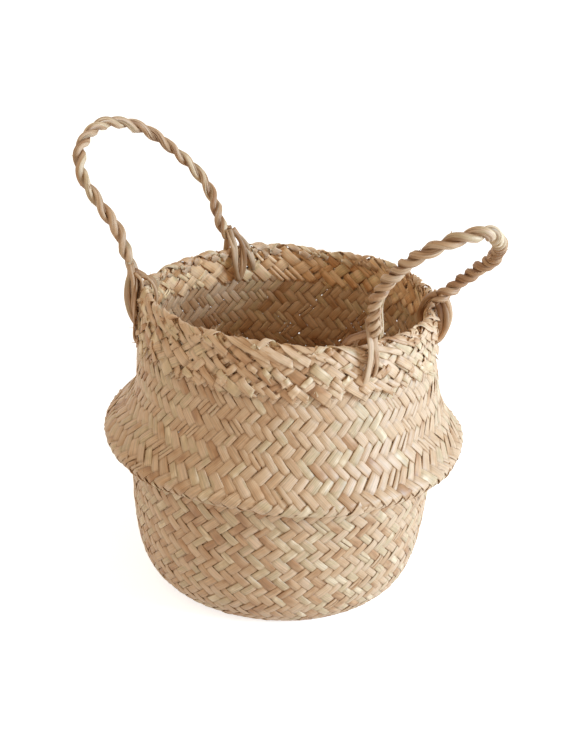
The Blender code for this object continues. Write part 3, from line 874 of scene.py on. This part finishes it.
def add_loose_end(strips, centre, along, out, share):
    """The end of a blade that stands off from the rope, towards the inside of its loop."""
    place = round(share * len(centre))
    inwards = unit(centre.mean(axis=0) - centre[place])
    start = centre[place] + inwards * 0.0035
    way = inwards + along[place] * 0.4
    sliver(strips, start, way, out, length=0.0055, half_width=0.0013, tint=0.1)


def make_rope(side, handle, material):
    """Two plies wound round each other, each of flattened blades that wind the other way."""
    centre, out = rope_centre(handle)
    along = unit(np.gradient(centre, axis=0))
    across = unit(out - along * (along @ out)[:, None])
    third = np.cross(along, across)
    lengths = lengths_along(centre)
    share = lengths / lengths[-1]
    lay = np.interp(share, *zip(*handle["lays"])) * (1 + wander(0.06, len(centre), lengths[-1]))
    turn = np.cumsum(math.tau * ROPE_STEP / lay)
    tone = np.interp(share, TONE_SHARES, handle["tones"])
    taper = np.clip(np.minimum(lengths, lengths[-1] - lengths) / ROOT_TAPER, 0.0, 1.0)
    taper = ROOT_SHARE + (1 - ROOT_SHARE) * taper
    strips = Strips()
    for phase in (0.0, math.pi):
        away = across * np.cos(turn + phase)[:, None] + third * np.sin(turn + phase)[:, None]
        add_ply(strips, handle, centre, away, taper, tone)
    if "straight" in handle:
        add_straight_strands(strips, centre, along, third, handle["straight"])
    if "loose_end" in handle:
        add_loose_end(strips, centre, along, out, handle["loose_end"])
    rope = strips.piece(f"{side}_rope", material, "rope", f"handle_{side}")
    parts = ("handle_ply_a", "handle_ply_b", "front_crossing", "back_crossing")
    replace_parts(rope, *[f"{side}_{part}" for part in parts])


def make_feet(material):
    """Flattened strands straddle the rim at each foot and go through the wall."""
    for side, handle in HANDLES.items():
        for end, degrees in handle["feet_degrees"].items():
            turn = math.radians(degrees)
            out = np.array((math.cos(turn), math.sin(turn), 0.0))
            ways = np.array((out, (-out[1], out[0], 0.0), UP))
            foot = out * FOOT_RADIUS + UP * RIM_HEIGHT
            strips = Strips()
            outer_tone, inner_tone_and_painted_shade = FOOT_TONES_AND_PAINTED_SHADE[f"{side}_{end}"]
            for half_width, thickness, route in FEET[f"{side}_{end}"]:
                goes_inside = min(out_by for out_by, _, _ in route) < -1
                # Strands that go inside the rim take the inner tone, which for the right front foot is a
                # painted shade.
                tint = (inner_tone_and_painted_shade if goes_inside else outer_tone) + rng.uniform(0.0, 0.7)
                line = foot + smooth_line(route, 7) * MILLIMETRE @ ways
                strand(strips, line, out, half_width * MILLIMETRE, thickness * MILLIMETRE, tint)
            piece = strips.piece(f"{side}_{end}_foot_strands", material, "rope")
            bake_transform(piece)
            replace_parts(piece, f"{side}_{end}_foot_loop")


def strand(strips, line, out, half_width, thickness, tint):
    """A strand of two broad blades that lap and twist. Its flat side faces away from the wall under it."""
    along = unit(np.gradient(line, axis=0))
    across = unit(np.cross(along, out + UP * 0.3))
    normal = np.cross(across, along)
    swing = 2.2 * lengths_along(line) / 0.03 + rng.uniform(0.0, math.tau)
    for number in range(2):
        angle = swing + number * math.pi
        shift = across * (np.cos(angle) * half_width * 0.42)[:, None]
        shift = shift + normal * (np.sin(angle) * thickness * 0.25)[:, None]
        # Painted shade: each blade is darker where it turns under the other one.
        dip = np.clip(0.35 - 0.6 * np.sin(angle), 0.0, 0.8)
        roll = 0.3 * np.sin(angle)
        shade = tint + rng.uniform(-0.2, 0.2)
        strips.add(line + shift, normal, half_width * 0.75, thickness * 0.85, shade, roll=roll, dip=dip)


def linear(red, green, blue):
    """A colour given in the usual 0 to 255 steps, as the linear values that Blender takes."""
    values = []
    for step in (red, green, blue):
        share = step / 255
        values.append(share / 12.92 if share <= 0.04045 else ((share + 0.055) / 1.055) ** 2.4)
    return (*values, 1.0)


SEAGRASS = (
    (0.0, linear(172, 128, 88)),
    (0.15, linear(192, 152, 112)),
    (0.4, linear(204, 170, 133)),
    (0.6, linear(212, 180, 147)),
    (0.76, linear(195, 170, 132)),
    (0.88, linear(206, 178, 140)),
    (1.0, linear(226, 202, 168)),
)
# Painted light: the side of each strip that faces the inside is painted a little lighter and warmer, for the
# light inside the basket.
INNER_SIDE_PAINTED_LIGHT = (1.05, 1.04, 0.99)
# The level on top of the cloth, from which the painted hollow shade darkens.
TOP_SHADE = 1.04


def feed(socket, value):
    """A socket takes a fixed value, or what comes out of another one."""
    if isinstance(value, bpy.types.NodeSocket):
        socket.id_data.links.new(value, socket)
    else:
        socket.default_value = value


def math_node(tree, operation, *values, kind="Math"):
    node = tree.nodes.new(f"ShaderNode{kind}")
    node.operation = operation
    for socket, value in zip(node.inputs, values):
        feed(socket, value)
    return node.outputs[0]


def vector_math(tree, operation, *values):
    return math_node(tree, operation, *values, kind="VectorMath")


def attribute(tree, name, output="Fac"):
    node = tree.nodes.new("ShaderNodeAttribute")
    node.attribute_name = name
    return node.outputs[output]


def noise(tree, vector, scales, detail):
    texture = tree.nodes.new("ShaderNodeTexNoise")
    feed(texture.inputs["Scale"], 1.0)
    feed(texture.inputs["Detail"], detail)
    feed(texture.inputs["Vector"], vector_math(tree, "MULTIPLY", vector, scales))
    return texture.outputs["Fac"]


def map_range(tree, value, low, high, at_low=0.0, at_high=1.0):
    node = tree.nodes.new("ShaderNodeMapRange")
    sockets = ("Value", "From Min", "From Max", "To Min", "To Max")
    for socket, setting in zip(sockets, (value, low, high, at_low, at_high)):
        feed(node.inputs[socket], setting)
    return node.outputs[0]


def spread_of(tree, value, amount, middle):
    """A noise value around one half, turned into a factor around a middle."""
    return math_node(tree, "ADD", math_node(tree, "MULTIPLY", value, amount), middle - amount / 2)


def strip_colour(tree, fibre):
    """The colour of each strip from its tint, mottled along it."""
    mottle = noise(tree, fibre, scales=(95.0, 0.5, 2.3), detail=1.0)
    ramp = tree.nodes.new("ShaderNodeValToRGB")
    elements = ramp.color_ramp.elements
    elements[0].position, elements[0].color = SEAGRASS[0]
    elements[1].position, elements[1].color = SEAGRASS[-1]
    for position, colour in SEAGRASS[1:-1]:
        elements.new(position).color = colour
    mottle = spread_of(tree, mottle, amount=0.95, middle=0.0)
    feed(ramp.inputs["Fac"], math_node(tree, "ADD", attribute(tree, "tint"), mottle))
    return ramp.outputs["Color"]


def fibre_and_painted_edge_shade_factor(tree, fibre, grain):
    """Paler and darker fibres along a strip, and a painted shade that darkens its edges."""
    parts = tree.nodes.new("ShaderNodeSeparateXYZ")
    feed(parts.inputs[0], fibre)
    across = math_node(tree, "ABSOLUTE", parts.outputs["Y"])
    # Painted shade: the strip darkens towards its edges, for the shade in the gaps between strips.
    edge = map_range(tree, across, 0.65, 1.0, at_low=1.0, at_high=0.92)
    return math_node(tree, "MULTIPLY", spread_of(tree, grain, amount=1.0, middle=1.04), edge)


def painted_hollow_shade_factor(tree, shade, hollow_painted_shade):
    """Painted shade: the level of strips on top of the cloth, and a darker painted shade where they dip
    through it, in the hollows between crossing strips.
    """
    depth = map_range(tree, attribute(tree, "dip"), 0.3, 1.0)
    change = [(dark - TOP_SHADE) * factor for dark, factor in zip(hollow_painted_shade, shade)]
    return vector_math(tree, "MULTIPLY_ADD", depth, change, [TOP_SHADE * factor for factor in shade])


def inner_side_painted_light_factor(tree):
    """Painted light on the side of each strip that faces the inside."""
    change = [factor - 1 for factor in INNER_SIDE_PAINTED_LIGHT]
    return vector_math(tree, "MULTIPLY_ADD", attribute(tree, "inner"), change, (1.0, 1.0, 1.0))


def seagrass_material(name, shade, hollow_painted_shade):
    """Dried seagrass: each strip has its own tint and fine fibres along it, with painted shade at its edges
    and in the hollows where it dips through the cloth, and painted light on its inner side.

    A shade is three factors, for red, green and blue; for the collar and the band it is painted light.
    """
    material = bpy.data.materials.new(name)
    material.use_nodes = True
    tree = material.node_tree
    shader = tree.nodes["Principled BSDF"]
    fibre = attribute(tree, "fibre", "Vector")
    grain = noise(tree, fibre, scales=(22.0, 6.0, 3.1), detail=3.0)
    colour = vector_math(tree, "MULTIPLY", strip_colour(tree, fibre), fibre_and_painted_edge_shade_factor(tree, fibre, grain))
    # Painted shade in the hollows, and painted light on the inner side.
    for factor in (painted_hollow_shade_factor(tree, shade, hollow_painted_shade), inner_side_painted_light_factor(tree)):
        colour = vector_math(tree, "MULTIPLY", colour, factor)
    feed(shader.inputs["Base Color"], colour)
    feed(shader.inputs["Roughness"], spread_of(tree, grain, amount=0.3, middle=0.5))
    feed(shader.inputs["Specular IOR Level"], 0.65)
    bump = tree.nodes.new("ShaderNodeBump")
    feed(bump.inputs["Strength"], 0.45)
    feed(bump.inputs["Distance"], 0.0003)
    feed(bump.inputs["Height"], grain)
    feed(shader.inputs["Normal"], bump.outputs[0])
    return material


def turned_by(first, second, degrees):
    """Two directions at right angles, turned by an angle in their plane, the first one towards the second."""
    cos, sin = math.cos(math.radians(degrees)), math.sin(math.radians(degrees))
    return first * cos + second * sin, second * cos - first * sin


def make_camera():
    height = math.radians(CAMERA_HEIGHT_DEGREES)
    forward = Vector((0.0, math.cos(height), -math.sin(height)))
    place = Vector((0.0, 0.0, CAMERA_AIM_HEIGHT)) - forward * CAMERA_DISTANCE
    right = Vector((1.0, 0.0, 0.0))
    forward, up = turned_by(forward, right.cross(forward), CAMERA_PITCH_DEGREES)
    forward, right = turned_by(forward, right, CAMERA_YAW_DEGREES)
    right, up = turned_by(right, up, CAMERA_ROLL_DEGREES)
    data = bpy.data.cameras.new("camera")
    data.lens = CAMERA_LENS
    data.sensor_fit = "VERTICAL"
    data.sensor_height = CAMERA_SENSOR
    camera = add_object("camera", data)
    camera.matrix_world = Matrix.Translation(place) @ Matrix((right, up, -forward)).transposed().to_4x4()
    bpy.context.scene.camera = camera


def make_key():
    """A soft, slightly cool lamp at the right and the front."""
    data = bpy.data.lights.new("key", "AREA")
    data.shape = "DISK"
    data.size = 0.6
    data.energy = 26.5
    data.color = (0.53, 0.745, 1.0)
    lamp = add_object("key", data)
    lamp.location = (1.45, -0.52, 0.6)
    aim = Vector((0.0, 0.0, 0.1))
    lamp.rotation_euler = (aim - lamp.location).to_track_quat("-Z", "Y").to_euler()


def seen_directly(tree):
    """One where the camera, a reflection or clear glass looks, and zero for the light on other things."""
    paths = tree.nodes.new("ShaderNodeLightPath").outputs
    seen = math_node(tree, "MAXIMUM", paths["Is Camera Ray"], paths["Is Glossy Ray"])
    return math_node(tree, "MAXIMUM", seen, paths["Is Transmission Ray"])


def background(tree, colour, strength):
    node = tree.nodes.new("ShaderNodeBackground")
    feed(node.inputs["Color"], colour)
    feed(node.inputs["Strength"], strength)
    return node.outputs[0]


def make_world():
    """Warm light all round. What the camera sees directly is white."""
    world = bpy.data.worlds.new("studio")
    bpy.context.scene.world = world
    world.use_nodes = True
    tree = world.node_tree
    tree.nodes.clear()
    mix = tree.nodes.new("ShaderNodeMixShader")
    feed(mix.inputs[0], seen_directly(tree))
    feed(mix.inputs[1], background(tree, (1.0, 0.865, 0.69, 1.0), 0.66))
    feed(mix.inputs[2], background(tree, (1.0, 1.0, 1.0, 1.0), 1.0))
    output = tree.nodes.new("ShaderNodeOutputWorld")
    feed(output.inputs["Surface"], mix.outputs[0])


def floor_material():
    """Pale and matt, with a glow that only shows where the floor is seen directly."""
    material = bpy.data.materials.new("floor_white")
    material.use_nodes = True
    tree = material.node_tree
    tree.nodes.clear()
    diffuse = tree.nodes.new("ShaderNodeBsdfDiffuse")
    feed(diffuse.inputs["Color"], (0.8, 0.8, 0.8, 1.0))
    glow = tree.nodes.new("ShaderNodeEmission")
    feed(glow.inputs["Strength"], math_node(tree, "MULTIPLY", seen_directly(tree), 0.74))
    both = tree.nodes.new("ShaderNodeAddShader")
    feed(both.inputs[0], diffuse.outputs[0])
    feed(both.inputs[1], glow.outputs[0])
    output = tree.nodes.new("ShaderNodeOutputMaterial")
    feed(output.inputs["Surface"], both.outputs[0])
    return material


def make_floor():
    mesh = bpy.data.meshes.new("floor")
    reach = 4.0
    corners = ((-reach, -reach, 0.0), (reach, -reach, 0.0), (reach, reach, 0.0), (-reach, reach, 0.0))
    mesh.from_pydata(corners, [], [(0, 1, 2, 3)])
    mesh.materials.append(floor_material())
    floor = add_object("floor", mesh)
    floor.location.z = -0.0003


bpy.context.scene.view_settings.view_transform = "Standard"
# The second factors of each material are the painted shade in its hollows, where strips dip through the
# cloth.
plait_material = seagrass_material("seagrass_plait", (1.01, 1.01, 1.01), (0.7, 0.64, 0.57))
# The collar and rim are painted a little lighter than the cloth: painted light, for their upright strips that
# catch less light.
collar_painted_light_material = seagrass_material("seagrass_collar_painted_light", (1.09, 1.09, 1.09), (0.6, 0.54, 0.47))
# The band is painted much lighter than the cloth: painted light, for the light that the band inside the rim
# catches.
band_painted_light_material = seagrass_material("seagrass_band_painted_light", (1.4, 1.4, 1.36), (0.66, 0.6, 0.52))
rope_material = seagrass_material("seagrass_rope", (0.92, 0.9, 0.88), (0.62, 0.53, 0.43))
make_base(plait_material)
make_bowl(plait_material)
make_web(plait_material)
make_belly(plait_material)
make_band(band_painted_light_material)
make_collar(collar_painted_light_material)
make_rim(collar_painted_light_material)
for side_name, handle_facts in HANDLES.items():
    make_rope(side_name, handle_facts, rope_material)
make_feet(rope_material)
make_waist(plait_material)
make_camera()
make_key()
make_world()
make_floor()
